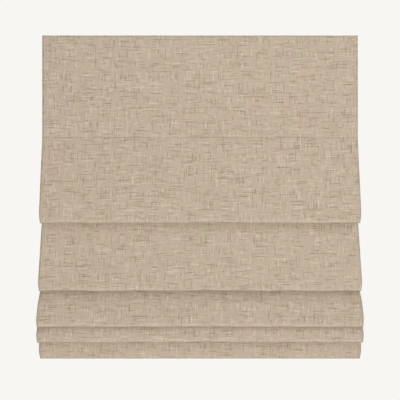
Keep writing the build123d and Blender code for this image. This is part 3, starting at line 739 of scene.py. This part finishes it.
# Natural nylon clips: milky, slightly glossy
natural_nylon = grained("natural_nylon", "#e9e8e0", "#dbdad0", 1.0, 1.0, 0.03, (0.22, 0.32), {
    "IOR": 1.53, "Subsurface Weight": 0.15, "Subsurface Radius": (0.002, 0.002, 0.0016)})
# Pultruded fibreglass rod: pale green-cream with glass streaks along it
fibreglass = grained("pultruded_fibreglass", "#e4e3cf", "#cfceb4", 0.5, 90.0, 0.03, (0.4, 0.55), {
    "IOR": 1.52})

# Finish of each carried-over node, by the start of its name
node_finishes = {
    "headrail": powder_coat, "end_cap": abs_white, "bracket": zinc_steel, "bottom_bar": mill_aluminium,
    "bar_plug": abs_white, "tape_anchor": natural_nylon, "tape_reel": abs_white, "reel_cradle": abs_white,
    "lift_shaft": zinc_steel, "shaft_bush": acetal, "drive_drum": acetal, "storage_drum": acetal,
    "motor_spring": spring_steel, "motor_housing": abs_white, "motor_cover": abs_white,
    "rib_rod": fibreglass, "rib_guides": natural_nylon,
}
for node_name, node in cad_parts.items():
    for start, finish in node_finishes.items():
        if node_name.startswith(start):
            node.data.materials.clear()
            node.data.materials.append(finish)

# Cloth and its turned sides, hung between the headrail and the bottom bar
side_view = cloth_rows()
cloth = hanging_cloth(side_view, linen)
hems = [side_hem(f"side_hem_{name}", side, side_view, linen) for name, side in SIDES.items()]
stitches = [side_stitches(f"side_stitches_{name}", side, side_view, pale_thread)
            for name, side in SIDES.items()]
for soft in (cloth, *hems, *stitches):
    apply_modifiers(soft)
    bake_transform(soft)
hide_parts("blind_cloth")

# Ribs: a stitched pocket over each rod, with a row of stitches above and below it
row_x = np.arange(-INNER_WIDTH / 2 + STITCH_PITCH, INNER_WIDTH / 2 - STITCH_PITCH / 2, STITCH_PITCH)
seam_y = FLANGE_FRONT_Y + FLANGE_THICKNESS + STITCH_LIFT
for number, rib_z in enumerate(RIB_ZS, start=1):
    pocket = pocket_tube(f"sewn_pocket_{number}", rib_z, pocket_tape)
    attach(pocket, f"rib_{number}")
    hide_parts(f"rib_pocket_{number}")
    seam_zs = rib_z + np.array([-1, 1])[:, None] * (FLANGE_HEIGHT / 2 - STITCH_INSET)
    centres = np.stack(np.broadcast_arrays(row_x[None, :], seam_y, seam_zs), axis=2).reshape(-1, 3)
    ahead = np.broadcast_to([1.0, 0.0, 0.0], centres.shape)
    behind = np.broadcast_to([0.0, 1.0, 0.0], centres.shape)
    sewing = stitch_row(f"pocket_stitches_{number}", centres, ahead, behind, STITCH_WIDTH, sewing_thread)
    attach(sewing, f"rib_{number}")

# Lift tapes, wound on their reels and falling to the anchors
for place, x_middle in LIFT_XS.items():
    low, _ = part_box(f"lift_tape_{place}")
    tape = wound_tape(f"woven_tape_{place}", x_middle, low[2] / MM, webbing)
    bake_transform(tape)
    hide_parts(f"lift_tape_{place}")

# Grip tapes between the headrail and the cloth
for node_name in ("hook_tape", "loop_tape"):
    strip = grip_strip(f"nylon_{node_name}", node_name, pile)
    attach(strip, "headrail")
    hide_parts(node_name)

# Floor: a pale, matt and partly clear disc that fades out at its rim
floor_material, floor_tree, floor_surface = finish_material("pale_studio_floor", {
    "Base Color": linear("#f0eeea"), "Roughness": 0.9, "Specular IOR Level": 0.1})
floor_place = add(floor_tree, "ShaderNodeTexCoord").outputs["Object"]
floor_flat = add(floor_tree, "ShaderNodeMapping", {"Vector": floor_place, "Scale": (1, 1, 0)}).outputs[0]
floor_radius = add(floor_tree, "ShaderNodeVectorMath", {0: floor_flat}, operation="LENGTH").outputs["Value"]
floor_clear = add(floor_tree, "ShaderNodeMapRange", {
    "Value": floor_radius, "From Min": FLOOR_FADE[0] * MM, "From Max": FLOOR_FADE[1] * MM,
    "To Min": FLOOR_ALPHA, "To Max": 0.0}).outputs[0]
floor_tree.links.new(floor_clear, floor_surface.inputs["Alpha"])
floor_turn = np.linspace(0, 2 * np.pi, FLOOR_SIDES, endpoint=False)[None, :]
floor_ring = np.array(FLOOR_RINGS)[:, None]
floor_points = np.stack([floor_ring * np.cos(floor_turn), floor_ring * np.sin(floor_turn),
                         FLOOR_Z + 0 * floor_ring * floor_turn], axis=2)
floor_faces = grid_faces(len(FLOOR_RINGS), FLOOR_SIDES, wrap_columns=True)
floor = make_piece("floor", floor_points, floor_faces, floor_material)

# Pale surround for the camera and for reflections; a softer level lights the object
world = bpy.data.worlds.new("studio")
bpy.context.scene.world = world
world.use_nodes = True
sky = world.node_tree
sky.nodes.clear()
rays = add(sky, "ShaderNodeLightPath").outputs
direct = add(sky, "ShaderNodeMath", {0: rays["Is Camera Ray"], 1: rays["Is Glossy Ray"]},
             operation="MAXIMUM").outputs[0]
seen = add(sky, "ShaderNodeMath", {0: direct, 1: rays["Is Transmission Ray"]},
           operation="MAXIMUM").outputs[0]
ambient = add(sky, "ShaderNodeBackground", {"Color": linear("#f6f4f1"), "Strength": AMBIENT_STRENGTH})
surround = add(sky, "ShaderNodeBackground", {"Color": linear("#f7f6f3"), "Strength": 1.0})
sky_mix = add(sky, "ShaderNodeMixShader", {0: seen, 1: ambient.outputs[0], 2: surround.outputs[0]})
add(sky, "ShaderNodeOutputWorld", {"Surface": sky_mix.outputs[0]})


def soft_box(name, place, aim, width, power):
    """A square studio lamp that faces a point: tilted from straight down, then turned about Z."""
    lamp = bpy.data.lights.new(name, "AREA")
    lamp.size = width
    lamp.energy = power
    box = bpy.data.objects.new(name, lamp)
    bpy.context.scene.collection.objects.link(box)
    sight = np.array(aim) - np.array(place)
    tilt = np.arctan2(np.hypot(sight[0], sight[1]), -sight[2])
    box.location = place
    box.rotation_euler = (tilt, 0, np.arctan2(-sight[0], sight[1]))


for name, lamp in LAMPS.items():
    soft_box(name, **lamp)

camera = bpy.data.objects.new("camera", bpy.data.cameras.new("camera"))
bpy.context.scene.collection.objects.link(camera)
camera.data.sensor_width = CAMERA_SENSOR
camera.data.lens = CAMERA_LENS
camera.location = CAMERA_PLACE
camera.rotation_euler = (np.pi / 2, 0.0, 0.0)
bpy.context.scene.camera = camera
bpy.context.scene.view_settings.view_transform = "Standard"
